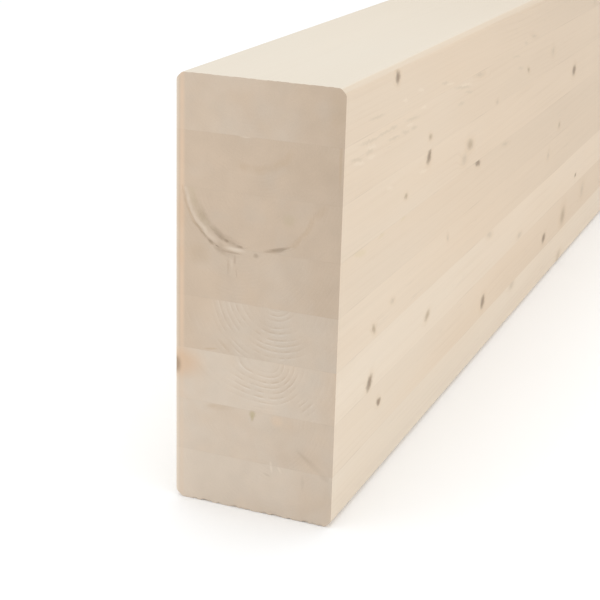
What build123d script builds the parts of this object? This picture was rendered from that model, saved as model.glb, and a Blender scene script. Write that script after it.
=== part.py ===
"""Glued laminated timber beam: planed spruce lamellae, stacked flat and glued face to face.

Millimetres. +X runs along the beam and +Z up through its depth, and the origin is the middle of the
underside. The near end is the one at -X. Lamellae are counted from the underside up.
"""

import os

from build123d import *

# Beam
beam_length = 3000
beam_width = 140

# Lamellae: their thicknesses add up to the beam's depth
lamella_count = 8
lamella_thickness = 45

# Planed arrises along the beam: how far the 45 degree slope reaches over each face
arris_chamfer = 5

near_end = Plane.YZ.offset(-beam_length / 2)


def lamella_name(number):
    """The outer two lamellae, which carry the arrises, are named for where they lie."""
    if number == 1:
        return "bottom_lamella"
    if number == lamella_count:
        return "top_lamella"
    return f"lamella_{number}"


os.makedirs("parts", exist_ok=True)

for number in range(1, lamella_count + 1):
    underside = (number - 1) * lamella_thickness

    with BuildPart() as lamella:
        with BuildSketch(near_end):
            with Locations((0, underside)):
                Rectangle(beam_width, lamella_thickness, align=(Align.CENTER, Align.MIN))
        extrude(amount=beam_length)

        # The long edges of the board, those of its underside first
        long_edges = lamella.edges().filter_by(Axis.X).group_by(Axis.Z)
        if number == 1:
            chamfer(long_edges[0], length=arris_chamfer)
        if number == lamella_count:
            chamfer(long_edges[-1], length=arris_chamfer)

    lamella.part.label = lamella_name(number)
    export_step(lamella.part, f"parts/{lamella.part.label}.step")
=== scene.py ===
"""Glued laminated spruce beam on a pale studio floor, seen from its sawn near end.

Metres and degrees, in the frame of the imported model: +X runs along the beam away from the near end, +Y
to the left of someone who looks that way, and +Z up. Each lamella is a mesh of its own, cut from the plain
board, with its own growth rings, knots, cracks and glue lines.
"""

import logging
import math
import random
from dataclasses import dataclass, field
from enum import Enum
from functools import partial, reduce
from typing import Any, Iterable, Sequence, Union

import bmesh
import bpy
import numpy as np
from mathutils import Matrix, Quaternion, Vector


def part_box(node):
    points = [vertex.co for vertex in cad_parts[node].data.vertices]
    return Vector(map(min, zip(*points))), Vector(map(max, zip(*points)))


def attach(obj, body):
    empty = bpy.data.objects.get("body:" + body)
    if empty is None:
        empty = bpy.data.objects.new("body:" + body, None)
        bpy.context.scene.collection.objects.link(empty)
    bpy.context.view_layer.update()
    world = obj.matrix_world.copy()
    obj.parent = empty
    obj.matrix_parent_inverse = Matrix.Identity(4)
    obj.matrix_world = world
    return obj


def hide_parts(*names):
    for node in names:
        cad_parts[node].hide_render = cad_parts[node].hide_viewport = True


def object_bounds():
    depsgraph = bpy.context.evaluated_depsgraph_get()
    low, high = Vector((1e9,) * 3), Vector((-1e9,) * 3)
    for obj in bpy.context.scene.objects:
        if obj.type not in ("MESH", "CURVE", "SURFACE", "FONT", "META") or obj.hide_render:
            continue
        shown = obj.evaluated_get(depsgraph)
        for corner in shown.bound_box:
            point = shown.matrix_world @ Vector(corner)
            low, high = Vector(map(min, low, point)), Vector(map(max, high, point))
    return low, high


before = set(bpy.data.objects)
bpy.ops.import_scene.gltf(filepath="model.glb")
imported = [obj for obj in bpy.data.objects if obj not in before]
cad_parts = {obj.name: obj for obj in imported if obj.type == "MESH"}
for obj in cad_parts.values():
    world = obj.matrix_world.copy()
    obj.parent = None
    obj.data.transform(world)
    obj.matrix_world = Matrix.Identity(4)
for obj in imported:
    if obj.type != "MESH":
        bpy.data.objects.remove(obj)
cad_low, cad_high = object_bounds()

log = logging.getLogger("beam")

Triple = tuple[float, float, float]
Colour = Triple
Span = tuple[float, float]
Hump = tuple[float, float, float, float]
Term = Union["Number", float]

SLOT = "spruce"
BODY = "root"

# Half size of an ellipse along an axis that it leaves out
ENDLESS = 1e4

# How a seed moves a random pattern along each axis
SEED_STEPS = (1.0, 1.7, 2.3)

# Mean of a noise node's outputs
NOISE_MEAN = 0.5


class Number:
    """A number socket of a shader, with arithmetic that adds Math nodes."""

    def __init__(self, book: "NodeBook", socket: bpy.types.NodeSocket) -> None:
        """Wrap an output socket of the tree that a book writes."""
        self.book = book
        self.socket = socket

    def __add__(self, other: Term) -> "Number":
        """Sum."""
        return self.book.math("ADD", self, other)

    def __radd__(self, other: Term) -> "Number":
        """Sum with a plain number first."""
        return self.book.math("ADD", other, self)

    def __sub__(self, other: Term) -> "Number":
        """Difference."""
        return self.book.math("SUBTRACT", self, other)

    def __rsub__(self, other: Term) -> "Number":
        """Difference from a plain number."""
        return self.book.math("SUBTRACT", other, self)

    def __mul__(self, other: Term) -> "Number":
        """Product."""
        return self.book.math("MULTIPLY", self, other)

    def __rmul__(self, other: Term) -> "Number":
        """Product with a plain number first."""
        return self.book.math("MULTIPLY", other, self)

    def __truediv__(self, other: Term) -> "Number":
        """Quotient."""
        return self.book.math("DIVIDE", self, other)

    def __abs__(self) -> "Number":
        """Size without its sign."""
        return self.book.math("ABSOLUTE", self)

    def least(self, other: Term) -> "Number":
        """The smaller of two numbers."""
        return self.book.math("MINIMUM", self, other)

    def hypot(self, other: "Number") -> "Number":
        """The long side of a right triangle with this and another number as its short sides."""
        return self.book.math("SQRT", self * self + other * other)

    def part(self) -> "Number":
        """What is left after the whole number below."""
        return self.book.math("FRACT", self)

    def between(self, low: float, high: float) -> "Number":
        """A share from 0 to 1, turned into a number from low to high."""
        return self * (high - low) + low

    def rise(self, start: float, end: float) -> "Number":
        """A smooth step from 0 to 1.

        Args:
            start: Where the step is 0.
            end: Where it is 1, which may lie on either side of the start.

        Returns:
            The step's height.
        """
        sockets = {"Value": self, "From Min": start, "From Max": end}
        node = self.book.add("ShaderNodeMapRange", sockets, interpolation_type="SMOOTHSTEP")
        return Number(self.book, node.outputs["Result"])

    def hump(self, start: float, full: float, fade: float, end: float) -> "Number":
        """A smooth hump: 0 up to the start, 1 from full to fade, and 0 again from the end on."""
        return self.rise(start, full) * self.rise(end, fade)


@dataclass(frozen=True)
class Pattern:
    """A soft random pattern.

    Attributes:
        pitch: Its size along the beam, across it and up it. Zero leaves a direction out.
        shift: What it adds to a board's seed, so that patterns differ.
        detail: Octaves of finer pattern.
        strength: What it is multiplied by where it sways about zero.
        span: Between which sways it appears where it is a mask.
        shared: Whether it runs on from board to board, whatever their seeds.
    """

    pitch: Triple
    shift: float
    detail: float = 2.0
    strength: float = 1.0
    span: Span = (-0.5, 0.5)
    shared: bool = False


class Figure(Enum):
    """Patterns that the wood and its marks show."""

    MARK_OUTLINE = Pattern((0.0045, 0.0045, 0.0045), 1, detail=3)
    PITH_WANDER = Pattern((0.9, 0, 0), 2)
    RING_WOBBLE = Pattern((0.25, 0.022, 0.022), 3, strength=0.0030)
    RING_PATCHES = Pattern((0.35, 0.020, 0.020), 4, span=(-0.12, 0.12))
    FIBRE = Pattern((0.090, 0.0007, 0.0007), 5, detail=3)
    PORES = Pattern((0.0008, 0.0008, 0.0008), 6)
    BLOTCH = Pattern((0.45, 0.060, 0.060), 7, strength=0.08)
    STREAK = Pattern((0.160, 0.0016, 0.0016), 8, detail=3, strength=0.06)
    SPECK = Pattern((0.0015, 0.0015, 0.0015), 9, strength=0.06)
    WARM_DRIFT = Pattern((0.30, 0.045, 0.045), 10, strength=0.8)
    MOTTLE = Pattern((0.018, 0.018, 0.018), 12, strength=0.12)
    FLECK = Pattern((0.030, 0.0015, 0.0015), 15, span=(0.08, 0.24))
    FLECK_AREAS = Pattern((0.14, 0.035, 0.035), 16, span=(0.0, 0.18))
    WARM_SPOTS = Pattern((0.022, 0.022, 0.022), 17, strength=1.2)
    SIDE_PATCHES = Pattern((0.13, 0.020, 0.020), 18, span=(-0.15, 0.25))
    RING_BREAKS = Pattern((0.35, 0.006, 0.006), 19, span=(-0.22, 0.14))
    GLUE_SHOW = Pattern((0.10, 0.040, 0), 3, detail=3, span=(0.0, 0.22), shared=True)
    ARRIS_PATCHES = Pattern((0, 0, 0.050), 11, span=(-0.40, 0.08), shared=True)
    SHAKE_STRAY = Pattern((0, 0.010, 0.010), 13, strength=0.0040, shared=True)
    SHAKE_BREAKS = Pattern((0, 0.007, 0.007), 14, strength=2.2, shared=True)


class NodeBook:
    """Adds nodes to one material's tree."""

    def __init__(self, material: bpy.types.Material, seed: float) -> None:
        """Open a material's tree and read where a point lies on the beam.

        Args:
            material: The material to write.
            seed: Shifts the random patterns of its board.
        """
        material.use_nodes = True
        self.seed = seed
        self.tree = material.node_tree
        self.tree.nodes.clear()
        self.place = self.add("ShaderNodeTexCoord").outputs["Object"]
        self.x, self.y, self.z = self.split(self.place)

    def add(self, kind: str, sockets: dict[Any, Any] | None = None, **settings: Any) -> bpy.types.Node:
        """Add any node.

        Args:
            kind: The node's type.
            sockets: What each input, by name or number, is set to or linked from.
            settings: The node's own settings, which are set first.

        Returns:
            The new node.
        """
        node = self.tree.nodes.new(kind)
        for name, value in settings.items():
            setattr(node, name, value)
        for key, value in (sockets or {}).items():
            source = value.socket if isinstance(value, Number) else value
            if isinstance(source, bpy.types.NodeSocket):
                self.tree.links.new(source, node.inputs[key])
            else:
                node.inputs[key].default_value = source
        return node

    def math(self, operation: str, *terms: Term) -> Number:
        """A Math node on one or two terms."""
        node = self.add("ShaderNodeMath", dict(enumerate(terms)), operation=operation)
        return Number(self, node.outputs["Value"])

    def split(self, vector: bpy.types.NodeSocket) -> tuple[Number, ...]:
        """The three numbers of a vector or colour."""
        node = self.add("ShaderNodeSeparateXYZ", {"Vector": vector})
        return tuple(Number(self, socket) for socket in node.outputs)

    def vector(self, operation: str, first: Any, second: Any) -> bpy.types.NodeSocket:
        """A Vector Math node that gives a vector."""
        node = self.add("ShaderNodeVectorMath", {0: first, 1: second}, operation=operation)
        return node.outputs["Vector"]

    def blend(self, share: Term, first: Any, second: Any, how: str = "MIX") -> bpy.types.NodeSocket:
        """Mix two colours.

        Args:
            share: How much of the second is taken.
            first: Colour, or a socket of one.
            second: Colour, or a socket of one. A number counts as a grey.
            how: The kind of mix.

        Returns:
            The mixed colour's socket.
        """
        first, second = ((*c, 1.0) if isinstance(c, tuple) else c for c in (first, second))
        sockets = {0: share, 6: first, 7: second}
        return self.add("ShaderNodeMix", sockets, data_type="RGBA", blend_type=how).outputs[2]

    def noise(self, figure: Figure) -> bpy.types.Node:
        """Lay a random pattern over the beam.

        Args:
            figure: The pattern.

        Returns:
            Its noise node.
        """
        pattern = figure.value
        seed = pattern.shift if pattern.shared else self.seed + pattern.shift
        sockets = {
            "Vector": self.place,
            "Location": tuple(seed * step for step in SEED_STEPS),
            "Scale": tuple(1 / size if size else 0.0 for size in pattern.pitch),
        }
        place = self.add("ShaderNodeMapping", sockets, vector_type="POINT").outputs[0]
        sockets = {"Vector": place, "Scale": 1.0, "Detail": pattern.detail}
        return self.add("ShaderNodeTexNoise", sockets, noise_dimensions="3D")

    def wave(self, figure: Figure) -> Number:
        """A pattern as a number that sways about zero."""
        return Number(self, self.noise(figure).outputs[0]) - NOISE_MEAN

    def sway(self, figure: Figure) -> Number:
        """A pattern that sways about zero by its own strength."""
        return self.wave(figure) * figure.value.strength

    def mask(self, figure: Figure) -> Number:
        """A pattern as a mask from 0 to 1."""
        return self.wave(figure).rise(*figure.value.span)

    def ellipse(
        self, middle: Sequence[float], halves: Sequence[float], turn: Sequence[float], source: Any
    ) -> Number:
        """Distance from a middle in units of an ellipse's half sizes, so 1 is its edge.

        Args:
            middle: Where the ellipse is centred.
            halves: Half its size along each axis.
            turn: Its turn about each axis, in radians.
            source: Socket of the place to read.

        Returns:
            The distance.
        """
        sockets = {"Vector": source, "Location": middle, "Rotation": turn, "Scale": halves}
        local = self.add("ShaderNodeMapping", sockets, vector_type="TEXTURE").outputs[0]
        node = self.add("ShaderNodeVectorMath", {0: local}, operation="LENGTH")
        return Number(self, node.outputs["Value"])


class Face(Enum):
    """Planed faces of the beam, by the way they look."""

    RIGHT = (0, -1, 0)
    LEFT = (0, 1, 0)
    TOP = (0, 0, 1)
    UNDER = (0, 0, -1)

    @property
    def is_level(self) -> bool:
        """Whether it is the top or the underside."""
        return self in (Face.TOP, Face.UNDER)

    @property
    def upright_axis(self) -> int:
        """The axis that crosses the grain on it."""
        return 1 if self.is_level else 2


@dataclass(frozen=True)
class MarkLook:
    """How one kind of mark on a planed face looks, and how the rings swirl round it."""

    heart: Colour
    rim: Colour
    strength: float
    dent: float
    swirl: float


class MarkKind(Enum):
    """Kinds of mark that a planed spruce face shows."""

    BLACK_KNOT = MarkLook((0.265, 0.195, 0.135), (0.340, 0.255, 0.178), 0.88, 0.0004, 1.0)
    BROWN_KNOT = MarkLook((0.390, 0.295, 0.200), (0.470, 0.370, 0.262), 0.72, 0.0003, 1.0)
    FAINT_KNOT = MarkLook((0.480, 0.380, 0.280), (0.550, 0.450, 0.340), 0.50, 0.0, 0.7)
    RESIN_STREAK = MarkLook((0.600, 0.490, 0.310), (0.600, 0.490, 0.310), 0.40, 0.0, 0.0)
    TORN_GRAIN = MarkLook((0.530, 0.430, 0.315), (0.560, 0.460, 0.345), 0.48, 0.0, 0.0)
    RAISED_GRAIN = MarkLook((0.790, 0.700, 0.575), (0.790, 0.700, 0.575), 0.20, 0.0, 0.0)


class Tint(Enum):
    """Colours of the marks on the near end."""

    # DARK and BROWN also serve as painted shade in the near end's cracks and pits
    DARK = (0.200, 0.140, 0.090)
    BROWN = (0.430, 0.300, 0.180)
    ORANGE = (0.760, 0.520, 0.330)
    RUST = (0.600, 0.385, 0.230)
    OLIVE = (0.420, 0.350, 0.210)
    PALE = (0.760, 0.660, 0.550)


def ellipse_reach(right: np.ndarray, up: np.ndarray, sizes: Span, tilt: float) -> np.ndarray:
    """Distance of points from a tilted ellipse's middle, in units of its half sizes.

    Args:
        right: How far each point lies from the middle to the side.
        up: How far each lies above it.
        sizes: The ellipse's length and width.
        tilt: The slope of its length.

    Returns:
        The distances, which are 1 on the ellipse's edge.
    """
    turn = math.radians(tilt)
    along = right * math.cos(turn) + up * math.sin(turn)
    over = up * math.cos(turn) - right * math.sin(turn)
    return np.hypot(along / (sizes[0] / 2), over / (sizes[1] / 2))


@dataclass(frozen=True)
class SideMark:
    """A knot or streak on a planed face.

    Attributes:
        kind: What it is.
        along: How far its middle is from the near end.
        up: How far it is above its lamella's underside, or off the middle on the top and under faces.
        length: Its size along the grain.
        height: Its size across the grain.
        tilt: Its slope, rising away from the near end.
        face: The face that it shows on.
    """

    kind: MarkKind
    along: float
    up: float
    length: float
    height: float
    tilt: float = 0.0
    face: Face = Face.RIGHT


@dataclass(frozen=True)
class EndMark:
    """A crack, spot or stain on the near end, as a long or round ellipse.

    Attributes:
        tint: Its colour. On a crack or pit dented into the end, a dark tint is painted shade in the
            hollow.
        across: Its middle's place across the beam, from the beam's middle to the left.
        up: Its middle's height above the floor.
        length: Its size along its slope.
        width: Its size across that.
        strength: How much of its colour covers the wood.
        tilt: Its slope, rising to the left.
        dent: How deep it goes into the end.
    """

    tint: Tint
    across: float
    up: float
    length: float
    width: float
    strength: float
    tilt: float = 0.0
    dent: float = 0.0


@dataclass(frozen=True)
class RingShake:
    """A crack that follows a growth ring on the near end.

    Attributes:
        across: The ring's centre across the beam.
        up: The ring's centre above the floor.
        radius: The ring's radius.
        start: Where the crack begins, from straight down, positive to the left.
        end: Where it ends.
        width: How wide it gapes in its middle.
        depth: How deep it goes into the end, or zero for a band of colour alone.
        tint: Its colour. A dark or brown line along a gaping crack is painted shade in it.
        strength: How much of that colour covers the wood.
    """

    across: float
    up: float
    radius: float
    start: float
    end: float
    width: float
    depth: float
    tint: Tint
    strength: float


@dataclass(frozen=True)
class TornArris:
    """Fibres torn out by the saw along the foot or head of the near end.

    Attributes:
        at_foot: True along the underside, False along the top.
        reach: How far from the arris the tearing goes.
        depth: How much the deepest tears take off.
        inward: How far a tear goes along the beam for each step up or down.
        pitches: Lengths of the tears, which add up to an uneven line.
        stagger: How much the tears of one length start past those of another.
        fullness: How much of the arris is torn, above the half that the tears alone would take.
    """

    at_foot: bool
    reach: float
    depth: float
    inward: float = 0.7
    pitches: tuple[float, ...] = (0.0310, 0.0127, 0.0071)
    stagger: float = 37.0
    fullness: float = 0.25

    def bite(self, across: np.ndarray) -> np.ndarray:
        """How much is torn off at places across the beam.

        Args:
            across: The places.

        Returns:
            The share of the full depth that is gone there, from 0 to 1.
        """
        waves = [
            np.sin(2 * math.pi * across / pitch + self.stagger * pitch / self.reach)
            for pitch in self.pitches
        ]
        return np.clip(sum(waves) / len(waves) + self.fullness, 0, 1)


@dataclass(frozen=True)
class RingPatch:
    """An oval patch of the sawn ends where growth rings show, by its middle and its sizes."""

    across: float
    up: float
    width: float
    height: float


@dataclass(frozen=True)
class Grain:
    """How one lamella was cut from its tree.

    Attributes:
        pith: Where the tree's centre lies across the beam and above the floor.
        ring: Width of a growth ring.
        end_rings: How strongly the rings show on the sawn ends.
        side_rings: How strongly they show on the planed faces.
        lightness: The board's tone against the others.
        warmth: How yellow it is, from 0 for the palest.
        edge_tones: How much the sawn ends yellow towards their left edge and towards their right edge.
        midway_tone: How much darker and yellower the planed faces get away from the ends.
        seed: Shifts the random patterns of this board.
        oval: How far the rings are drawn out to the left and to the right.
        patches: Where the rings show on the sawn ends, or none for all over.
    """

    pith: Span
    ring: float
    end_rings: float
    side_rings: float
    lightness: float
    warmth: float
    edge_tones: Span
    midway_tone: float
    seed: float
    oval: Span = (1.0, 1.0)
    patches: tuple[RingPatch, ...] = ()


@dataclass
class Lamella:
    """One board of the beam: its place, its wood and what shows on its faces.

    Attributes:
        node: The board's node in the frame, which gives its low and high corners.
        grain: How it was cut from its tree.
        side_marks: Marks on its planed faces.
        end_marks: Marks on its near end, each laid over those before it.
        shakes: Cracks along the rings of its near end, laid in the same way.
        torn: Torn arrises of its near end.
        end_ease: How far the outer edges of the ends are rounded.
        arris_ease: How far the edges of the long chamfers are rounded.
        ease_steps: Faces over one rounding.
        station: The longest panel that the plain board is cut into.
        mark_edge: The mesh's longest edge on a dented knot.
        crack_edge: Its longest edge on a crack or pit of the near end.
        tear_edge: Its longest edge on a torn arris.
        growth: How much longer edges may be for each step away from those.
        rounds: The most times that edges are halved.
        flat_angle: How far faces may fold and still count as one.
        sharp_angle: Where a fold starts to look sharp.
        merge: Distance within which places count as one.
        digits: Decimals to which the places of folds are told apart.
    """

    node: str
    grain: Grain
    side_marks: tuple[SideMark, ...] = ()
    end_marks: tuple[EndMark, ...] = ()
    shakes: tuple[RingShake, ...] = ()
    torn: tuple[TornArris, ...] = ()
    end_ease: float = 0.0004
    arris_ease: float = 0.0015
    ease_steps: int = 3
    station: float = 0.060
    mark_edge: float = 0.0013
    crack_edge: float = 0.0004
    tear_edge: float = 0.0008
    growth: float = 0.5
    rounds: int = 12
    flat_angle: float = 1.0
    sharp_angle: float = 25.0
    merge: float = 1e-6
    digits: int = 5
    low: Vector = field(init=False)
    high: Vector = field(init=False)

    def __post_init__(self) -> None:
        """Take the board's place from the frame."""
        self.low, self.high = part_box(self.node)

    @property
    def glued_below(self) -> bool:
        """Whether another lamella lies under this one."""
        return self.low.z > cad_low.z + self.merge

    @property
    def glued_above(self) -> bool:
        """Whether another lamella lies on this one."""
        return self.high.z < cad_high.z - self.merge

    def spot(self, mark: SideMark) -> Vector:
        """Where the middle of a side mark lies.

        Args:
            mark: The mark.

        Returns:
            Its place on its face.
        """
        along = self.low.x + mark.along
        if mark.face.is_level:
            return Vector((along, mark.up, self.high.z if mark.face is Face.TOP else self.low.z))
        across = self.low.y if mark.face is Face.RIGHT else self.high.y
        return Vector((along, across, self.low.z + mark.up))

    def build(self) -> bpy.types.Object:
        """Cut the board's mesh from the plain lamella.

        Returns:
            The new object, at the origin, with its place in its mesh.
        """
        bm = bmesh.new()
        bm.from_mesh(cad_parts[self.node].data)
        bmesh.ops.remove_doubles(bm, verts=bm.verts, dist=self.merge)
        flat = math.radians(self.flat_angle)
        bmesh.ops.dissolve_limit(bm, angle_limit=flat, verts=bm.verts, edges=bm.edges)
        folds = [
            (axis, value)
            for axis in (1, 2)
            for value in {round(vert.co[axis], self.digits) for vert in bm.verts}
        ]
        self._ease_arrises(bm)
        self._cut_stations(bm, folds)
        self._refine(bm)
        self._carve(bm)
        self._smooth(bm)
        mesh = bpy.data.meshes.new(f"{self.node}_board")
        bm.to_mesh(mesh)
        bm.free()
        board = bpy.data.objects.new(mesh.name, mesh)
        bpy.context.scene.collection.objects.link(board)
        board.modifiers.new("flat_faces", "WEIGHTED_NORMAL").keep_sharp = True
        return board

    def dress(self, board: bpy.types.Object, finish: "SpruceFinish") -> None:
        """Give the board its wood and tie it to the frame.

        Args:
            board: The board's object.
            finish: The finish that its wood is made in.
        """
        board.data.materials.append(finish.material(self))
        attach(board, BODY)
        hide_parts(self.node)

    def _ease_arrises(self, bm: bmesh.types.BMesh) -> None:
        """Round the edges of the long chamfers, and then the outer edges of both ends.

        Args:
            bm: The board. Its edges along glue lines stay sharp.
        """
        glue = [self.low.z] * self.glued_below + [self.high.z] * self.glued_above

        def is_open(edge: bmesh.types.BMEdge) -> bool:
            """Whether an edge lies off the glue lines."""
            return not any(all(abs(v.co.z - z) < self.merge for v in edge.verts) for z in glue)

        def runs_along(edge: bmesh.types.BMEdge) -> bool:
            """Whether an edge runs along the beam."""
            return abs(edge.verts[0].co.x - edge.verts[1].co.x) > self.merge

        for along, offset in ((True, self.arris_ease), (False, self.end_ease)):
            bmesh.ops.bevel(
                bm,
                geom=[edge for edge in bm.edges if is_open(edge) and runs_along(edge) is along],
                offset=offset,
                offset_type="OFFSET",
                segments=self.ease_steps,
                profile=0.5,
                affect="EDGES",
                material=-1,
            )

    def _cut_stations(self, bm: bmesh.types.BMesh, folds: Iterable[tuple[int, float]]) -> None:
        """Cut the board into panels along its length and at the lines where its faces meet.

        Args:
            bm: The board.
            folds: Axis and place of each line where faces meet, as on a chamfer.
        """
        planes = list(folds)
        for axis in range(3):
            span = self.high[axis] - self.low[axis]
            steps = math.ceil(span / self.station)
            planes += [(axis, self.low[axis] + span * step / steps) for step in range(1, steps)]
        for axis, value in planes:
            place = Vector()
            place[axis] = value
            normal = Vector()
            normal[axis] = 1.0
            everything = bm.verts[:] + bm.edges[:] + bm.faces[:]
            bmesh.ops.bisect_plane(bm, geom=everything, dist=self.merge, plane_co=place, plane_no=normal)
        bmesh.ops.triangulate(bm, faces=[face for face in bm.faces if len(face.verts) > 4])

    def _wanted_edges(self, places: np.ndarray) -> np.ndarray:
        """The longest edge that the relief allows at each place.

        Args:
            places: One place a row.

        Returns:
            The edge length for each place: fine on a mark, and growing away from it.
        """
        wanted = np.full(len(places), np.inf)

        def near(distance: np.ndarray, finest: float) -> None:
            """Ask for fine edges within a distance of some relief."""
            np.minimum(wanted, np.maximum(finest, self.growth * distance), out=wanted)

        for mark in self.side_marks:
            if mark.kind.value.dent:
                reach = np.linalg.norm(places - np.array(self.spot(mark)), axis=1)
                near(reach - max(mark.length, mark.height) / 2, self.mark_edge)
        depth = places[:, 0] - self.low.x
        for shake in self.shakes:
            if shake.depth:
                radius = np.hypot(places[:, 1] - shake.across, places[:, 2] - shake.up)
                near(np.hypot(radius - shake.radius, depth) - shake.width, self.crack_edge)
        for mark in self.end_marks:
            if mark.dent:
                reach = np.hypot(places[:, 1] - mark.across, places[:, 2] - mark.up)
                near(np.hypot(reach, depth) - mark.length / 2, self.crack_edge)
        for tear in self.torn:
            off = places[:, 2] - (self.low.z if tear.at_foot else self.high.z)
            near(np.hypot(off, depth) - tear.reach / 2, self.tear_edge)
        return wanted

    def _refine(self, bm: bmesh.types.BMesh) -> None:
        """Halve edges until they are short enough for the relief near them.

        Args:
            bm: The board.
        """
        for _ in range(self.rounds):
            edges = bm.edges[:]
            ends = np.array([(*edge.verts[0].co, *edge.verts[1].co) for edge in edges])
            lengths = np.linalg.norm(ends[:, :3] - ends[:, 3:], axis=1)
            wanted = self._wanted_edges((ends[:, :3] + ends[:, 3:]) / 2)
            long_edges = [edge for edge, is_long in zip(edges, lengths > wanted) if is_long]
            if not long_edges:
                return
            bmesh.ops.subdivide_edges(bm, edges=long_edges, cuts=1, use_grid_fill=True)

    def _carve(self, bm: bmesh.types.BMesh) -> None:
        """Press knots, cracks and torn fibres into the board.

        Args:
            bm: The board, with fine edges where they go.
        """
        verts = bm.verts[:]
        places = np.array([v.co for v in verts])
        moved = places.copy()
        for mark in self.side_marks:
            moved += self._dent(places, mark)
        depth = np.zeros(len(places))
        for shake in self.shakes:
            depth = np.maximum(depth, self._gape(places, shake))
        for mark in self.end_marks:
            reach = ellipse_reach(
                places[:, 1] - mark.across, places[:, 2] - mark.up, (mark.length, mark.width), mark.tilt
            )
            depth = np.maximum(depth, mark.dent * np.clip(1 - reach**2, 0, 1))
        on_near_end = abs(places[:, 0] - self.low.x) < self.merge
        moved[:, 0] += depth * on_near_end
        for tear in self.torn:
            moved += self._tear(places, tear)
        for vert, place in zip(verts, moved):
            vert.co = place

    def _dent(self, places: np.ndarray, mark: SideMark) -> np.ndarray:
        """How a side mark moves the points of its face inwards.

        Args:
            places: One point a row.
            mark: The mark.

        Returns:
            The move of each point.
        """
        normal = np.array(mark.face.value, float)
        offset = places - np.array(self.spot(mark))
        on_face = abs(offset @ normal) < self.merge
        sizes = (mark.length, mark.height)
        reach = ellipse_reach(offset[:, 0], offset[:, mark.face.upright_axis], sizes, mark.tilt)
        hollow = mark.kind.value.dent * np.clip(1 - reach**2, 0, 1) ** 2 * on_face
        return -hollow[:, None] * normal

    def _gape(self, places: np.ndarray, shake: RingShake) -> np.ndarray:
        """How deep a ring shake opens at points of the near end.

        Args:
            places: One point a row.
            shake: The shake.

        Returns:
            The depth at each point.
        """
        across = places[:, 1] - shake.across
        up = places[:, 2] - shake.up
        angle = np.degrees(np.arctan2(across, -up))
        run = np.clip((angle - shake.start) / (shake.end - shake.start), 0, 1)
        half_width = np.sqrt(4 * run * (1 - run)) * shake.width / 2 + self.merge
        off = np.hypot(across, up) - shake.radius
        return shake.depth * np.clip(1 - (off / half_width) ** 2, 0, 1)

    def _tear(self, places: np.ndarray, tear: TornArris) -> np.ndarray:
        """How torn fibres move the points near an arris of the near end.

        Args:
            places: One point a row.
            tear: The torn arris.

        Returns:
            The move of each point.
        """
        inward = places[:, 0] - self.low.x
        away = places[:, 2] - self.low.z if tear.at_foot else self.high.z - places[:, 2]
        near = np.clip(1 - np.hypot(inward, away) / tear.reach, 0, 1) ** 2
        bite = tear.depth * tear.bite(places[:, 1]) * near
        upward = 1.0 if tear.at_foot else -1.0
        return bite[:, None] * np.array((tear.inward, 0.0, upward))

    def _smooth(self, bm: bmesh.types.BMesh) -> None:
        """Shade the faces smoothly, but keep the arrises sharp.

        Args:
            bm: The board.
        """
        bm.normal_update()
        for face in bm.faces:
            face.smooth = True
        for edge in bm.edges:
            edge.smooth = edge.calc_face_angle(0.0) < math.radians(self.sharp_angle)


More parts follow.
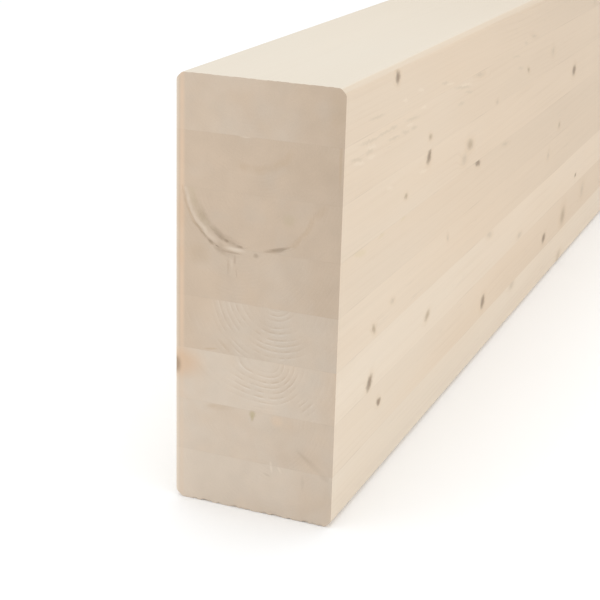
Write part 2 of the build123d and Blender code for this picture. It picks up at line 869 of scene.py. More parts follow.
@dataclass(frozen=True)
class SpruceFinish:
    """Planed, bare spruce with sawn end grain.

    A span says where something is nothing and where it is full, or what it is worth at those places. A
    hump says where it starts, is full, fades and ends.
    """

    # Colours of the wood and of what lies on it, and tints that the wood is multiplied by
    early: Colour = (0.688, 0.590, 0.475)
    late: Colour = (0.520, 0.390, 0.265)
    spring: Colour = (0.760, 0.675, 0.570)
    # Painted sheen: the top face is painted with this paler, whiter colour, standing in for the sheen and
    # bright overhead light on it
    top_sheen: Colour = (0.740, 0.692, 0.598)
    glue: Colour = (0.330, 0.240, 0.160)
    arris_rim: Colour = (0.760, 0.660, 0.550)
    arris_glow: Colour = (0.675, 0.495, 0.350)
    end_tint: Colour = (0.836, 0.824, 0.832)
    warm_tint: Colour = (1.000, 0.935, 0.870)
    halo_tint: Colour = (0.860, 0.760, 0.620)

    # How far a surface turns towards a face before it counts as that face
    end_turn: Span = (0.35, 0.75)
    side_turn: Span = (0.40, 0.80)
    level_turn: Span = (0.60, 0.90)

    # Growth rings: how the pith and the widths stray, and how the rings bend round knots
    drift: float = 0.014
    oval_turn: Span = (-0.02, 0.02)
    swirl: float = 0.0045
    swirl_reach: Span = (3.6, 0.5)
    width_pace: float = 70.0
    width_stray: float = 1.6

    # Where dark late wood and bright spring wood lie within a ring
    late_place: Hump = (0.50, 0.90, 0.94, 1.00)
    spring_place: Hump = (0.00, 0.06, 0.10, 0.40)

    # How strongly rings show on the ends, clear of the pith and in patches, and on the planed faces
    end_late: float = 0.75
    end_spring: float = 1.5
    pith_clear: Span = (0.004, 0.018)
    off_patches: float = 0.2
    patch_edge: Span = (1.4, 0.6)
    patch_strength: float = 0.9
    patch_sway: float = 1.5
    side_strength: Span = (0.25, 1.65)

    # Tone: the board's own, darker and yellower away from the ends, the ends painted darker towards the
    # right as painted shade, their edges, and the top painted paler as painted sheen
    own_strength: Span = (0.3, 1.0)
    midway_reach: Span = (0.10, 0.80)
    midway_strength: Span = (0.36, 1.30)
    midway_shade: float = 0.050
    # Painted shade: the ends are painted darker towards their right edge
    end_shade_slant: float = 0.040
    edge_turn: Span = (-0.03, 0.03)
    edge_shade: float = 0.034
    edge_warmth: float = 0.60
    fleck_shade: float = 0.07
    top_sheen_share: float = 0.64
    midway_sheen_loss: float = 0.12

    # Marks: how uneven their outlines are, and their edges and halos in units of their half sizes
    outline_stray: Triple = (0.007, 0.004, 0.004)
    off_face: float = 9.0
    heart_edge: Span = (0.30, 0.90)
    mark_edge: Span = (1.60, 0.60)
    end_mark_edge: Span = (1.30, 0.30)
    halo_edge: Span = (2.8, 0.9)
    halo_strength: float = 0.22

    # Near end: how far its marks go along the beam, its pale left rim and the warm band beside that
    near_reach: Span = (0.010, 0.006)
    rim_edge: Span = (0.0030, 0.0008)
    rim_strength: float = 0.5
    glow_place: Hump = (0.0010, 0.0050, 0.0050, 0.0085)
    glow_strength: float = 0.7
    glow_height: Span = (0.11, 0.17)
    low_glow: Span = (0.4, 1.0)

    # Ring shakes: shares of their run where they taper, and of their width where their line fades
    taper_shares: Hump = (0.0, 0.25, 0.75, 1.0)
    line_shares: Span = (0.9, 0.1)

    # Glue lines
    glue_edge: Span = (0.0007, 0.0002)
    glue_strength: Span = (0.03, 0.23)

    # Surface: relief of rings and pores against that of the fibres, its bump, and its shine
    ring_relief: float = 2.0
    pore_relief: float = 1.5
    bump_strength: float = 0.22
    bump_height: float = 0.0004
    side_roughness: float = 0.56
    end_roughness: float = 0.20
    fibre_roughness: float = 0.10
    shine: float = 0.35

    def material(self, lamella: Lamella) -> bpy.types.Material:
        """Make the wood of one board."""
        return BoardWood(self, lamella).make()


class BoardWood:
    """The wood of one board in the making, each layer of colour over those before it."""

    def __init__(self, look: SpruceFinish, lamella: Lamella) -> None:
        """Open the board's material, and work out how much a point belongs to its faces and marks.

        Args:
            look: The finish that the wood is made in.
            lamella: The board.
        """
        self.look = look
        self.lamella = lamella
        self.grain = lamella.grain
        self.material = bpy.data.materials.new(f"{lamella.node}_{SLOT}")
        self.book = NodeBook(self.material, lamella.grain.seed)
        facing = self.book.split(self.book.add("ShaderNodeNewGeometry").outputs["Normal"])
        self.on_end = abs(facing[0]).rise(*look.end_turn)
        self.on_side = 1 - self.on_end
        near = self.book.x.rise(*(lamella.low.x + reach for reach in look.near_reach))
        self.on_near_end = near * self.on_end
        self.on_faces: dict[Face, Number] = {}
        for face in Face:
            axis = 2 if face.is_level else 1
            turns = look.level_turn if face.is_level else look.side_turn
            self.on_faces[face] = facing[axis].rise(*(turn * face.value[axis] for turn in turns))
        self.reaches = self._mark_reaches()

    def make(self) -> bpy.types.Material:
        """Lay the colours in order, and add the relief and the shine.

        Returns:
            The board's material.
        """
        book = self.book
        look = self.look
        late = self._lay_rings()
        self._lay_tones()
        self._lay_marks()
        self._lay_warm_arris()
        self._lay_end_marks()
        self._lay_shakes()
        self._lay_glue()
        fibre = book.wave(Figure.FIBRE)
        pores = book.wave(Figure.PORES)
        relief = late * look.ring_relief + fibre * self.on_side + pores * self.on_end * look.pore_relief
        sockets = {"Strength": look.bump_strength, "Distance": look.bump_height, "Height": relief}
        bump = book.add("ShaderNodeBump", sockets)
        roughness = look.side_roughness + look.end_roughness * self.on_end + look.fibre_roughness * fibre
        sockets = {
            "Base Color": self.colour,
            "Roughness": roughness,
            "Normal": bump.outputs[0],
            "Specular IOR Level": look.shine,
        }
        shader = book.add("ShaderNodeBsdfPrincipled", sockets)
        book.add("ShaderNodeOutputMaterial", {"Surface": shader.outputs[0]})
        return self.material

    def _lay(self, share: Term, over: Any, how: str = "MIX") -> None:
        """Mix a colour into the wood's colour so far."""
        self.colour = self.book.blend(share, self.colour, over, how)

    def _mark_reaches(self) -> dict[MarkKind, Number]:
        """Distance from the nearest side mark of each kind, in units of its half size.

        Returns:
            The distance for each kind of mark that the board has.
        """
        book = self.book
        uneven = book.noise(Figure.MARK_OUTLINE).outputs["Color"]
        uneven = book.vector("SUBTRACT", uneven, (NOISE_MEAN,) * 3)
        uneven = book.vector("MULTIPLY", uneven, self.look.outline_stray)
        source = book.vector("ADD", book.place, uneven)
        reaches: dict[MarkKind, Number] = {}
        for kind in MarkKind:
            on_faces = []
            for face, on_face in self.on_faces.items():
                marks = [m for m in self.lamella.side_marks if m.kind is kind and m.face is face]
                if marks:
                    nearest = reduce(Number.least, [self._mark_reach(mark, source) for mark in marks])
                    on_faces.append(nearest + (1 - on_face) * self.look.off_face)
            if on_faces:
                reaches[kind] = reduce(Number.least, on_faces)
        return reaches

    def _mark_reach(self, mark: SideMark, source: bpy.types.NodeSocket) -> Number:
        """Distance from one side mark, in units of its half size.

        Args:
            mark: The mark.
            source: Socket of the place to read.

        Returns:
            The distance.
        """
        halves = [mark.length / 2, ENDLESS, ENDLESS]
        halves[mark.face.upright_axis] = mark.height / 2
        tilt = math.radians(mark.tilt)
        turn = (0, 0, tilt) if mark.face.is_level else (0, -tilt, 0)
        return self.book.ellipse(self.lamella.spot(mark), halves, turn, source)

    def _lay_rings(self) -> Number:
        """Start the wood's colour with growth rings about the pith, bent round the knots.

        Returns:
            How much late wood there is.
        """
        book = self.book
        grain = self.grain
        look = self.look
        wander = book.split(book.noise(Figure.PITH_WANDER).outputs["Color"])
        across = book.y - grain.pith[0] - (wander[0] - NOISE_MEAN) * look.drift
        up = book.z - grain.pith[1] - (wander[1] - NOISE_MEAN) * look.drift
        left, right = grain.oval
        across = across / across.rise(*look.oval_turn).between(right, left)
        radius = across.hypot(up) + book.sway(Figure.RING_WOBBLE)
        for kind, reach in self.reaches.items():
            if kind.value.swirl:
                radius = radius - reach.rise(*look.swirl_reach) * (kind.value.swirl * look.swirl)
        pace = book.add("ShaderNodeCombineXYZ", {"X": radius * look.width_pace, "Y": grain.seed})
        uneven = book.add("ShaderNodeTexNoise", {"Vector": pace.outputs[0], "Scale": 1.0, "Detail": 1.0})
        phase = (radius / grain.ring + Number(book, uneven.outputs[0]) * look.width_stray).part()
        on_end = self._end_rings(radius)
        patchy = book.mask(Figure.SIDE_PATCHES).between(*look.side_strength)
        on_side = self.on_side * grain.side_rings * patchy
        late = phase.hump(*look.late_place) * (on_end * look.end_late + on_side)
        spring = phase.hump(*look.spring_place) * on_end * look.end_spring
        self.colour = book.blend(late, look.early, look.late)
        self._lay(spring, look.spring)
        return late

    def _end_rings(self, radius: Number) -> Number:
        """How strongly growth rings show on the sawn ends.

        Args:
            radius: Distance from the pith.

        Returns:
            Their strength.
        """
        book = self.book
        look = self.look
        wave = book.wave(Figure.RING_PATCHES)
        shown = wave.rise(*Figure.RING_PATCHES.value.span)
        if self.grain.patches:
            shown = shown * look.off_patches
        for patch in self.grain.patches:
            halves = (ENDLESS, patch.width / 2, patch.height / 2)
            reach = book.ellipse((0, patch.across, patch.up), halves, (0, 0, 0), book.place)
            shown = shown + reach.rise(*look.patch_edge) * (wave * look.patch_sway + look.patch_strength)
        clear = radius.rise(*look.pith_clear) * book.mask(Figure.RING_BREAKS)
        return self.on_end * self.grain.end_rings * shown.least(1.0) * clear

    def _lay_tones(self) -> None:
        """Give the wood the board's own tone, with fine streaks on the faces and pores on the ends."""
        book = self.book
        grain = self.grain
        look = self.look
        own = self.on_end.between(*look.own_strength)
        # The planed faces get darker and yellower away from the ends
        from_end = abs(book.x).rise(*(self.lamella.high.x - reach for reach in look.midway_reach))
        midway = from_end.between(*look.midway_strength) * self.on_side * grain.midway_tone
        aside = book.y / self.lamella.high.y
        left, right = grain.edge_tones
        edge = aside * aside * aside.rise(*look.edge_turn).between(right, left) * self.on_end
        fleck = book.mask(Figure.FLECK) * book.mask(Figure.FLECK_AREAS) * look.fleck_shade
        on_side = book.sway(Figure.STREAK) - fleck
        # Painted shade: the ends get darker towards their right edge
        on_end = book.sway(Figure.SPECK) + book.sway(Figure.MOTTLE) + (aside - 1) * look.end_shade_slant
        shade = 1 + (grain.lightness - 1) * own + book.sway(Figure.BLOTCH)
        shade = shade - midway * look.midway_shade - edge * look.edge_shade
        self._lay(1.0, shade + on_side * self.on_side + on_end * self.on_end, "MULTIPLY")
        warm = grain.warmth * own + midway + edge * look.edge_warmth
        warm = warm + book.sway(Figure.WARM_DRIFT) + book.sway(Figure.WARM_SPOTS) * self.on_end
        self._lay(warm, look.warm_tint, "MULTIPLY")
        # Painted sheen: the top face is painted paler and whiter, a little less of it away from the ends
        self._lay(self.on_faces[Face.TOP] * (look.top_sheen_share - midway * look.midway_sheen_loss), look.top_sheen)
        self._lay(self.on_end, look.end_tint, "MULTIPLY")

    def _lay_marks(self) -> None:
        """Lay knots and streaks over the wood, each with a rim, and the knots with a faint halo."""
        look = self.look
        for kind, reach in self.reaches.items():
            mark = kind.value
            halo = reach.rise(*look.halo_edge) * (mark.swirl * look.halo_strength)
            self._lay(halo, look.halo_tint, "MULTIPLY")
            spot = self.book.blend(reach.rise(*look.heart_edge), mark.heart, mark.rim)
            self._lay(reach.rise(*look.mark_edge) * mark.strength, spot)

    def _lay_warm_arris(self) -> None:
        """Lay a pale rim along the left arris of the near end, and a patchy warm band beside it."""
        book = self.book
        look = self.look
        inset = self.lamella.high.y - book.y
        self._lay(inset.rise(*look.rim_edge) * self.on_near_end * look.rim_strength, look.arris_rim)
        patchy = book.mask(Figure.ARRIS_PATCHES) * book.z.rise(*look.glow_height).between(*look.low_glow)
        glow = inset.hump(*look.glow_place) * patchy
        self._lay(glow * self.on_near_end * look.glow_strength, look.arris_glow)

    def _lay_end_marks(self) -> None:
        """Lay cracks, spots and stains over the near end; dark cracks and pits carry painted shade."""
        for mark in self.lamella.end_marks:
            middle = (self.lamella.low.x, mark.across, mark.up)
            halves = (ENDLESS, mark.length / 2, mark.width / 2)
            reach = self.book.ellipse(middle, halves, (math.radians(mark.tilt), 0, 0), self.book.place)
            share = reach.rise(*self.look.end_mark_edge) * self.on_near_end * mark.strength
            self._lay(share, mark.tint.value)

    def _lay_shakes(self) -> None:
        """Lay the ring shakes over the near end as straying, broken lines; dark and brown ones are painted
        shade in the cracks.
        """
        book = self.book
        for shake in self.lamella.shakes:
            across = book.y - shake.across
            up = book.z - shake.up
            angle = book.math("ARCTAN2", across, 0 - up) * math.degrees(1)
            run = (angle - shake.start) / (shake.end - shake.start)
            radius = across.hypot(up) + book.sway(Figure.SHAKE_STRAY)
            fade = (shake.width * share for share in self.look.line_shares)
            line = abs(radius - shake.radius).rise(*fade) * (1 + book.sway(Figure.SHAKE_BREAKS))
            shown = line * run.hump(*self.look.taper_shares) * self.on_near_end * shake.strength
            self._lay(shown, shake.tint.value)

    def _lay_glue(self) -> None:
        """Lay a thin uneven line of glue along each joint with another lamella."""
        book = self.book
        look = self.look
        lines = []
        if self.lamella.glued_below:
            lines.append((book.z - self.lamella.low.z).rise(*look.glue_edge))
        if self.lamella.glued_above:
            lines.append((self.lamella.high.z - book.z).rise(*look.glue_edge))
        self._lay(sum(lines) * book.mask(Figure.GLUE_SHOW).between(*look.glue_strength), look.glue)


@dataclass(frozen=True)
class Scatter:
    """Spreads seeded knots over the faces that the near end's own marks leave free.

    Attributes:
        seed: Start of the random draws.
        start: Where knots begin on each face, from the near end.
        margin: How far they stay from the far end.
        gap: Mean distance between them along a face, on top of the least one.
        least_gap: The least distance between them along a face.
        level_share: How much of the top's and the underside's width they use.
        side_shares: Between which shares of a lamella's height they lie on the sides.
        size: Usual size of a knot.
        spread: How much sizes differ.
        stretch: Between which shares of its height its length lies.
        tilt: How far a knot may slope.
        kinds: Kinds of knot, with how often each comes.
    """

    seed: int = 4711
    start: tuple[tuple[Face, float], ...] = (
        (Face.RIGHT, 0.66),
        (Face.LEFT, 0.03),
        (Face.TOP, 0.70),
        (Face.UNDER, 0.05),
    )
    margin: float = 0.04
    gap: float = 0.27
    least_gap: float = 0.03
    level_share: float = 0.75
    side_shares: Span = (0.12, 0.88)
    size: float = 0.0085
    spread: float = 0.35
    stretch: Span = (1.0, 1.7)
    tilt: float = 15.0
    kinds: tuple[tuple[MarkKind, float], ...] = (
        (MarkKind.BLACK_KNOT, 0.28),
        (MarkKind.BROWN_KNOT, 0.34),
        (MarkKind.FAINT_KNOT, 0.38),
    )

    def knots(self, lamella: Lamella, number: int) -> tuple[SideMark, ...]:
        """Draw the knots of one board.

        Args:
            lamella: The board.
            number: Its place in the stack, which sets its draws.

        Returns:
            The knots.
        """
        draw = random.Random(self.seed + number)
        end = lamella.high.x - lamella.low.x - self.margin
        marks = []
        for face, start in self.start:
            if (face is Face.TOP and lamella.glued_above) or (face is Face.UNDER and lamella.glued_below):
                continue
            along = start + draw.uniform(0.0, self.gap)
            while along < end:
                height = self.size * math.exp(draw.gauss(0, self.spread))
                if face.is_level:
                    up = draw.uniform(self.level_share * lamella.low.y, self.level_share * lamella.high.y)
                else:
                    up = draw.uniform(*self.side_shares) * (lamella.high.z - lamella.low.z)
                kind = draw.choices(*zip(*self.kinds))[0]
                length = height * draw.uniform(*self.stretch)
                tilt = draw.uniform(-self.tilt, self.tilt)
                marks.append(SideMark(kind, along, up, length, height, tilt, face))
                along += self.least_gap + draw.expovariate(1 / self.gap)
        return tuple(marks)


@dataclass
class GluedBeam:
    """The whole beam: its boards from the underside up, their scattered knots and their finish."""

    lamellae: tuple[Lamella, ...]
    scatter: Scatter = Scatter()
    finish: SpruceFinish = SpruceFinish()

    def build(self) -> None:
        """Build and dress each lamella, and report it."""
        for number, lamella in enumerate(self.lamellae, 1):
            lamella.side_marks += self.scatter.knots(lamella, number)
            board = lamella.build()
            lamella.dress(board, self.finish)
            triangles = sum(len(face.vertices) - 2 for face in board.data.polygons)
            log.info("%s: %d triangles, %d marks", board.name, triangles, len(lamella.side_marks))


@dataclass(frozen=True)
class Softbox:
    """A large square lamp that shines softly at a point, with its power in watts."""

    name: str
    place: Triple
    aim: Triple
    size: float
    power: float
    tint: Colour = (1.0, 1.0, 1.0)

    def build(self) -> None:
        """Hang the lamp."""
        light = bpy.data.lights.new(self.name, "AREA")
        light.shape = "SQUARE"
        light.size = self.size
        light.energy = self.power
        light.color = self.tint
        lamp = bpy.data.objects.new(self.name, light)
        lamp.location = self.place
        lamp.rotation_euler = (Vector(self.aim) - Vector(self.place)).to_track_quat("-Z", "Y").to_euler()
        bpy.context.scene.collection.objects.link(lamp)


@dataclass(frozen=True)
class Viewpoint:
    """Where the photograph was taken from.

    Attributes:
        place: The camera's place.
        azimuth: The side it looks from, where 0 looks along +Y.
        elevation: How far above the horizon it looks from.
        roll: Its turn about its own line of sight, right side up.
        focal: Its focal length, in pixels of the frame.
        frame_width: The frame's width, in pixels.
        clip: The nearest and the furthest that it sees.
    """

    place: Triple
    azimuth: float
    elevation: float
    roll: float
    focal: float
    frame_width: float = 600.0
    clip: Span = (0.05, 500.0)

    def build(self) -> None:
        """Set up the camera."""
        side = math.radians(self.azimuth)
        rise = math.radians(self.elevation)
        back = Vector((math.sin(side) * math.cos(rise), -math.cos(side) * math.cos(rise), math.sin(rise)))
        lens = bpy.data.cameras.new("camera")
        lens.lens = lens.sensor_width * self.focal / self.frame_width
        lens.clip_start, lens.clip_end = self.clip
        camera = bpy.data.objects.new("camera", lens)
        camera.location = self.place
        level = (-back).to_track_quat("-Z", "Y")
        camera.rotation_euler = (Quaternion(back, math.radians(self.roll)) @ level).to_euler()
        bpy.context.scene.collection.objects.link(camera)
        bpy.context.scene.camera = camera


@dataclass(frozen=True)
class Studio:
    """Pale floor just under the beam, even sky, soft lamps and the camera."""

    viewpoint: Viewpoint
    softboxes: tuple[Softbox, ...]
    floor_tone: float = 0.97
    floor_roughness: float = 0.8
    floor_shine: float = 0.1
    floor_half: float = 150.0
    floor_gap: float = 0.0002
    sky: float = 0.95

    def build(self) -> None:
        """Lay the floor, light it and set up the camera."""
        self._lay_floor()
        self._light_sky()
        for softbox in self.softboxes:
            softbox.build()
        self.viewpoint.build()
        bpy.context.scene.view_settings.view_transform = "Standard"

    def _lay_floor(self) -> None:
        """Lay a wide plain floor just under the beam."""
        bm = bmesh.new()
        bmesh.ops.create_grid(bm, x_segments=1, y_segments=1, size=self.floor_half)
        bmesh.ops.translate(bm, verts=bm.verts, vec=(0, 0, cad_low.z - self.floor_gap))
        mesh = bpy.data.meshes.new("studio_floor")
        bm.to_mesh(mesh)
        bm.free()
        material = bpy.data.materials.new("studio_floor")
        material.use_nodes = True
        shader = material.node_tree.nodes["Principled BSDF"]
        shader.inputs["Base Color"].default_value = (self.floor_tone,) * 3 + (1.0,)
        shader.inputs["Roughness"].default_value = self.floor_roughness
        shader.inputs["Specular IOR Level"].default_value = self.floor_shine
        mesh.materials.append(material)
        floor = bpy.data.objects.new("studio_floor", mesh)
        bpy.context.scene.collection.objects.link(floor)

    def _light_sky(self) -> None:
        """Light everything evenly from all round."""
        world = bpy.data.worlds.new("studio")
        world.use_nodes = True
        background = world.node_tree.nodes["Background"]
        background.inputs["Color"].default_value = (1.0, 1.0, 1.0, 1.0)
        background.inputs["Strength"].default_value = self.sky
        bpy.context.scene.world = world


# Makers of the marks, one for each kind of side mark and for each tint of end mark
black_knot, brown_knot, faint_knot, resin_streak, torn_grain, raised_grain = (
    partial(SideMark, kind) for kind in MarkKind
)
dark, brown, orange, rust, olive, pale = (partial(EndMark, tint) for tint in Tint)

# The ring that the large shake follows, and what of it crosses from one lamella to the next
large_shake = partial(RingShake, 0.006, 0.2765)
# Its dark line is painted shade in the crack
outer_shake = large_shake(0.0588, 27, 58, 0.0020, 0.0004, Tint.DARK, 0.18)
# Pale torn fibre, partly a painted highlight on the raised sliver
splinter = pale(0.0185, 0.2240, 0.0180, 0.0036, 0.36, 4)


def bottom_lamella() -> Lamella:
    """The pale board on the floor, torn along its foot."""
    return Lamella(
        "bottom_lamella",
        Grain(
            pith=(-0.02, 0.065), ring=0.0034, end_rings=0.09, side_rings=0.07, lightness=1.045,
            warmth=0.0, edge_tones=(-0.5, 0.6), midway_tone=0.2, seed=11.0,
        ),
        side_marks=(faint_knot(0.556, 0.0425, 0.020, 0.009),),
        end_marks=(
            pale(-0.0165, 0.0425, 0.0080, 0.0024, 0.30, 80),
            pale(-0.0238, 0.0424, 0.0070, 0.0022, 0.24, 60),
            dark(-0.0126, 0.0359, 0.0080, 0.0024, 0.12, 20),
            dark(-0.0443, 0.0345, 0.0150, 0.0034, 0.09, 88),
            dark(-0.0625, 0.0440, 0.0120, 0.0065, 0.10, 35),
        ),
        torn=(TornArris(at_foot=True, reach=0.0030, depth=0.0012),),
    )


def lamella_2() -> Lamella:
    """The board with the two resin spots under its upper joint."""
    return Lamella(
        "lamella_2",
        Grain(
            pith=(0.0025, 0.092), ring=0.003, end_rings=0.09, side_rings=0.07, lightness=1.013,
            warmth=0.3, edge_tones=(-0.4, 0.6), midway_tone=1.0, seed=23.0,
        ),
        side_marks=(
            black_knot(0.433, 0.0155, 0.0135, 0.0125, 30),
            black_knot(0.106, 0.0260, 0.009, 0.0065, -15),
        ),
        end_marks=(
            olive(0.0012, 0.0868, 0.0070, 0.0062, 0.62, 90, 0.0004),
            olive(0.0013, 0.0835, 0.0065, 0.0030, 0.52, 90, 0.0004),
            brown(0.0300, 0.0880, 0.0300, 0.0070, 0.18, -8),
            brown(0.0370, 0.0878, 0.0090, 0.0040, 0.16, -8),
            orange(-0.0205, 0.0850, 0.0120, 0.0100, 0.15),
            pale(-0.0160, 0.0465, 0.0040, 0.0022, 0.26, 85),
            dark(-0.0508, 0.0536, 0.0310, 0.0065, 0.11, 35),
            dark(-0.0450, 0.0578, 0.0180, 0.0022, 0.08, 36),
        ),
    )


def lamella_3() -> Lamella:
    """The pale board with oval rings and the knot on its left arris."""
    return Lamella(
        "lamella_3",
        Grain(
            pith=(-0.0100, 0.1350), ring=0.0045, end_rings=0.48, side_rings=0.07, lightness=1.05,
            warmth=0.0, edge_tones=(0.7, 1.2), midway_tone=0.5, seed=37.0, oval=(1.8, 1.0),
            patches=(
                RingPatch(-0.0085, 0.1150, 0.048, 0.034),
                RingPatch(0.0000, 0.1300, 0.030, 0.012),
                RingPatch(-0.0275, 0.1270, 0.016, 0.022),
                RingPatch(-0.0455, 0.1020, 0.014, 0.013),
            ),
        ),
        side_marks=(
            black_knot(0.080, 0.0081, 0.0135, 0.0098, 42),
            brown_knot(0.235, 0.0184, 0.0130, 0.0080, 15),
            faint_knot(0.575, 0.0060, 0.017, 0.006),
            faint_knot(0.441, 0.0418, 0.020, 0.006, -15),
            black_knot(0.002, 0.0285, 0.018, 0.015, face=Face.LEFT),
        ),
        end_marks=(
            rust(0.068, 0.1215, 0.048, 0.028, 0.50),
            dark(0.070, 0.1190, 0.016, 0.0095, 0.55, 90, 0.0005),
        ),
    )


def lamella_4() -> Lamella:
    """The board with round rings."""
    return Lamella(
        "lamella_4",
        Grain(
            pith=(-0.0200, 0.1900), ring=0.0050, end_rings=0.42, side_rings=0.06, lightness=0.995,
            warmth=0.25, edge_tones=(2.1, 0.5), midway_tone=1.45, seed=41.0,
            patches=(
                RingPatch(0.0215, 0.1690, 0.034, 0.026),
                RingPatch(0.0190, 0.1415, 0.030, 0.014),
                RingPatch(-0.0200, 0.1500, 0.040, 0.034),
                RingPatch(-0.0205, 0.1765, 0.022, 0.012),
            ),
        ),
        side_marks=(
            brown_knot(0.085, 0.0094, 0.011, 0.0060, -35),
            faint_knot(0.131, 0.0200, 0.010, 0.0050, -12),
            faint_knot(0.287, 0.0345, 0.008, 0.0050, -40),
        ),
        end_marks=(brown(0.0390, 0.1374, 0.0140, 0.0020, 0.32, -9),),
    )


def lamella_5() -> Lamella:
    return Lamella(
        "lamella_5",
        Grain(
            pith=(0.018, 0.237), ring=0.0032, end_rings=0.08, side_rings=0.06, lightness=0.95,
            warmth=0.71, edge_tones=(1.0, 0.7), midway_tone=1.35, seed=53.0,
        ),
        side_marks=(
            black_knot(0.376, 0.0425, 0.0160, 0.0056, -8),
            faint_knot(0.479, 0.0410, 0.024, 0.0040, -7),
            resin_streak(0.042, 0.0420, 0.028, 0.0050, -12),
            resin_streak(0.094, 0.0430, 0.014, 0.0025),
            resin_streak(0.149, 0.0435, 0.012, 0.0025),
        ),
        end_marks=(
            # Dark checks and a pit dented into the end: their darkness is painted shade in the hollows
            dark(0.0242, 0.2095, 0.0180, 0.0020, 0.10, 90, 0.0004),
            dark(0.0186, 0.2155, 0.0085, 0.0020, 0.16, 90, 0.0004),
            dark(0.0169, 0.2045, 0.0090, 0.0016, 0.09, 80, 0.0003),
            pale(0.0212, 0.2120, 0.0100, 0.0026, 0.14, 86),
            dark(0.0005, 0.2214, 0.0050, 0.0046, 0.30, 0, 0.0004),
            # Painted shadow: a dark line under the pale splinter
            dark(0.0215, 0.2212, 0.0200, 0.0018, 0.18, 4, 0.0005),
            dark(0.0310, 0.2222, 0.0120, 0.0060, 0.15, 38),
            dark(0.0265, 0.2208, 0.0210, 0.0070, 0.10, 16),
            dark(0.0345, 0.2236, 0.0080, 0.0050, 0.12, 38),
            brown(0.0500, 0.2160, 0.0220, 0.0180, 0.20),
            rust(0.0670, 0.2120, 0.0180, 0.0110, 0.16, 90),
            splinter,
        ),
        shakes=(outer_shake,),
    )


def lamella_6() -> Lamella:
    """The board that the large shake runs through."""
    return Lamella(
        "lamella_6",
        Grain(
            pith=(0.006, 0.2765), ring=0.0032, end_rings=0.08, side_rings=0.07, lightness=0.948,
            warmth=0.85, edge_tones=(1.0, 0.7), midway_tone=1.05, seed=61.0,
        ),
        side_marks=(
            black_knot(0.213, 0.0390, 0.0125, 0.0100, 48),
            brown_knot(0.344, 0.0230, 0.0190, 0.0095, -12),
            brown_knot(0.153, 0.0171, 0.008, 0.0047, -15),
            faint_knot(0.327, 0.0120, 0.016, 0.0100, -6),
            raised_grain(0.198, 0.0288, 0.023, 0.0028, -6),
            raised_grain(0.109, 0.0345, 0.015, 0.0028, -8),
        ),
        end_marks=(
            # Dark cracks and pits dented into the end: their darkness is painted shade in the hollows
            dark(-0.0180, 0.2287, 0.0270, 0.0034, 0.26, -15, 0.0010),
            dark(-0.0190, 0.2286, 0.0150, 0.0042, 0.20, -15, 0.0010),
            pale(-0.0265, 0.2302, 0.0110, 0.0014, 0.26, -24),
            dark(0.0397, 0.2273, 0.0070, 0.0028, 0.38, 38, 0.0006),
            dark(0.0262, 0.2300, 0.0050, 0.0026, 0.42, 20, 0.0008),
            dark(0.0142, 0.2266, 0.0060, 0.0020, 0.30, 10, 0.0008),
            dark(0.0325, 0.2352, 0.0130, 0.0056, 0.20, 40),
            dark(0.0310, 0.2258, 0.0090, 0.0046, 0.14, 38),
            splinter,
            olive(-0.0265, 0.2536, 0.0110, 0.0110, 0.22),
            brown(-0.0530, 0.2632, 0.0160, 0.0066, 0.14, -50),
            rust(0.0665, 0.2475, 0.0310, 0.0120, 0.16, 90),
        ),
        shakes=(
            # The dark and brown lines along the gaping crack are painted shade in it
            outer_shake,
            large_shake(0.0588, 40, 86, 0.0024, 0.0003, Tint.BROWN, 0.24),
            # A pale band of torn fibre, partly a painted highlight on the raised sliver
            large_shake(0.0558, 24, 92, 0.0028, 0.0, Tint.PALE, 0.26),
            large_shake(0.0512, 30, 94, 0.0064, 0.0, Tint.OLIVE, 0.14),
            large_shake(0.0496, 2, 76, 0.0060, 0.0003, Tint.DARK, 0.15),
            large_shake(0.0506, 4, 46, 0.0024, 0.0005, Tint.DARK, 0.14),
            large_shake(0.0562, -76, -30, 0.0040, 0.0003, Tint.BROWN, 0.19),
        ),
    )


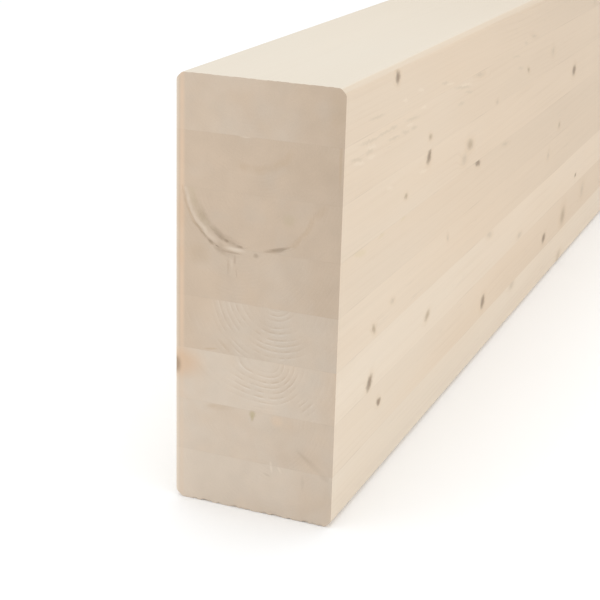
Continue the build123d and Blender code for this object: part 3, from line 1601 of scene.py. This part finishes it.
def lamella_7() -> Lamella:
    """The warm board whose side has torn and raised grain."""
    return Lamella(
        "lamella_7",
        Grain(
            pith=(0.006, 0.333), ring=0.003, end_rings=0.07, side_rings=0.08, lightness=0.938,
            warmth=1.0, edge_tones=(0.3, 0.8), midway_tone=1.25, seed=73.0,
        ),
        side_marks=(
            brown_knot(0.214, 0.0112, 0.009, 0.005, -15),
            brown_knot(0.558, 0.0161, 0.010, 0.0045, -25),
            faint_knot(0.435, 0.0030, 0.010, 0.005, -15),
            faint_knot(0.362, 0.0425, 0.026, 0.004, -8),
            torn_grain(0.026, 0.0307, 0.024, 0.0028, -9),
            torn_grain(0.055, 0.0309, 0.017, 0.0028, -6),
            torn_grain(0.054, 0.0396, 0.039, 0.0028, -4),
            torn_grain(0.092, 0.0391, 0.036, 0.0022),
            torn_grain(0.111, 0.0394, 0.017, 0.0030, -7),
            torn_grain(0.160, 0.0376, 0.033, 0.0030, -4),
            torn_grain(0.113, 0.0304, 0.027, 0.0025, -4),
            torn_grain(0.142, 0.0298, 0.019, 0.0030, -9),
            torn_grain(0.165, 0.0289, 0.015, 0.0028, -8),
            torn_grain(0.306, 0.0396, 0.048, 0.0025, -8),
            torn_grain(0.328, 0.0315, 0.023, 0.0025, -7),
            torn_grain(0.304, 0.0246, 0.019, 0.0028, -6),
            torn_grain(0.501, 0.0391, 0.030, 0.0025, -8),
            torn_grain(0.522, 0.0237, 0.020, 0.0030, -8),
            raised_grain(0.032, 0.0264, 0.022, 0.0026, -9),
            raised_grain(0.061, 0.0260, 0.017, 0.0026, -5),
            raised_grain(0.060, 0.0340, 0.021, 0.0026, -6),
            raised_grain(0.153, 0.0337, 0.017, 0.0024, -4),
            raised_grain(0.189, 0.0420, 0.014, 0.0022, -5),
            raised_grain(0.318, 0.0402, 0.036, 0.0022, -7),
        ),
        end_marks=(
            brown(-0.0450, 0.2960, 0.0560, 0.0380, 0.07),
            brown(-0.0672, 0.3080, 0.0560, 0.0030, 0.25, 90),
            pale(0.0110, 0.3150, 0.0100, 0.0024, 0.32),
        ),
        shakes=(RingShake(0.002, 0.3240, 0.0340, -72, 40, 0.0056, 0.0, Tint.BROWN, 0.17),),
    )


def top_lamella() -> Lamella:
    """The board on top, torn a little along its head."""
    return Lamella(
        "top_lamella",
        Grain(
            pith=(0.005, 0.385), ring=0.003, end_rings=0.06, side_rings=0.08, lightness=0.97,
            warmth=0.6, edge_tones=(0.0, 1.0), midway_tone=1.65, seed=89.0,
        ),
        side_marks=(
            black_knot(0.116, 0.0347, 0.010, 0.0088, -25),
            faint_knot(0.571, 0.0060, 0.022, 0.004, -10),
            torn_grain(0.538, 0.0030, 0.016, 0.003, -10),
            torn_grain(0.070, 0.0108, 0.030, 0.0028, -4),
            torn_grain(0.248, 0.0081, 0.019, 0.0026, -6),
            raised_grain(0.266, 0.0045, 0.022, 0.002, -7),
            raised_grain(0.179, 0.0133, 0.015, 0.0026, -7),
            raised_grain(0.138, 0.0118, 0.012, 0.0024, -6),
        ),
        end_marks=(brown(-0.0640, 0.3400, 0.0500, 0.0200, 0.14, 90),),
        torn=(TornArris(at_foot=False, reach=0.0020, depth=0.0005),),
    )


def main() -> None:
    """Build the beam and its studio."""
    logging.basicConfig(level=logging.INFO, format="%(message)s")
    boards = (
        bottom_lamella, lamella_2, lamella_3, lamella_4, lamella_5, lamella_6, lamella_7, top_lamella,
    )
    GluedBeam(tuple(board() for board in boards)).build()
    near_end = (cad_low.x, 0.0, cad_high.z / 2)
    floor_spot = (-1.0, 0.0, 0.0)
    cool = (0.85, 0.95, 1.0)
    Studio(
        Viewpoint(
            place=(-2.5061, -0.4449, 0.5669), azimuth=-67.96, elevation=19.10, roll=1.66, focal=1478.1,
        ),
        (
            Softbox("key", place=(-1.6, -3.0, 1.0), aim=near_end, size=2.0, power=14.0),
            Softbox("top", place=(-1.0, 0.3, 4.0), aim=floor_spot, size=3.0, power=40.0, tint=cool),
            Softbox("fill", place=(-2.5, 0.9, 0.25), aim=near_end, size=0.5, power=2.0),
        ),
    ).build()


if __name__ == "__main__":
    main()
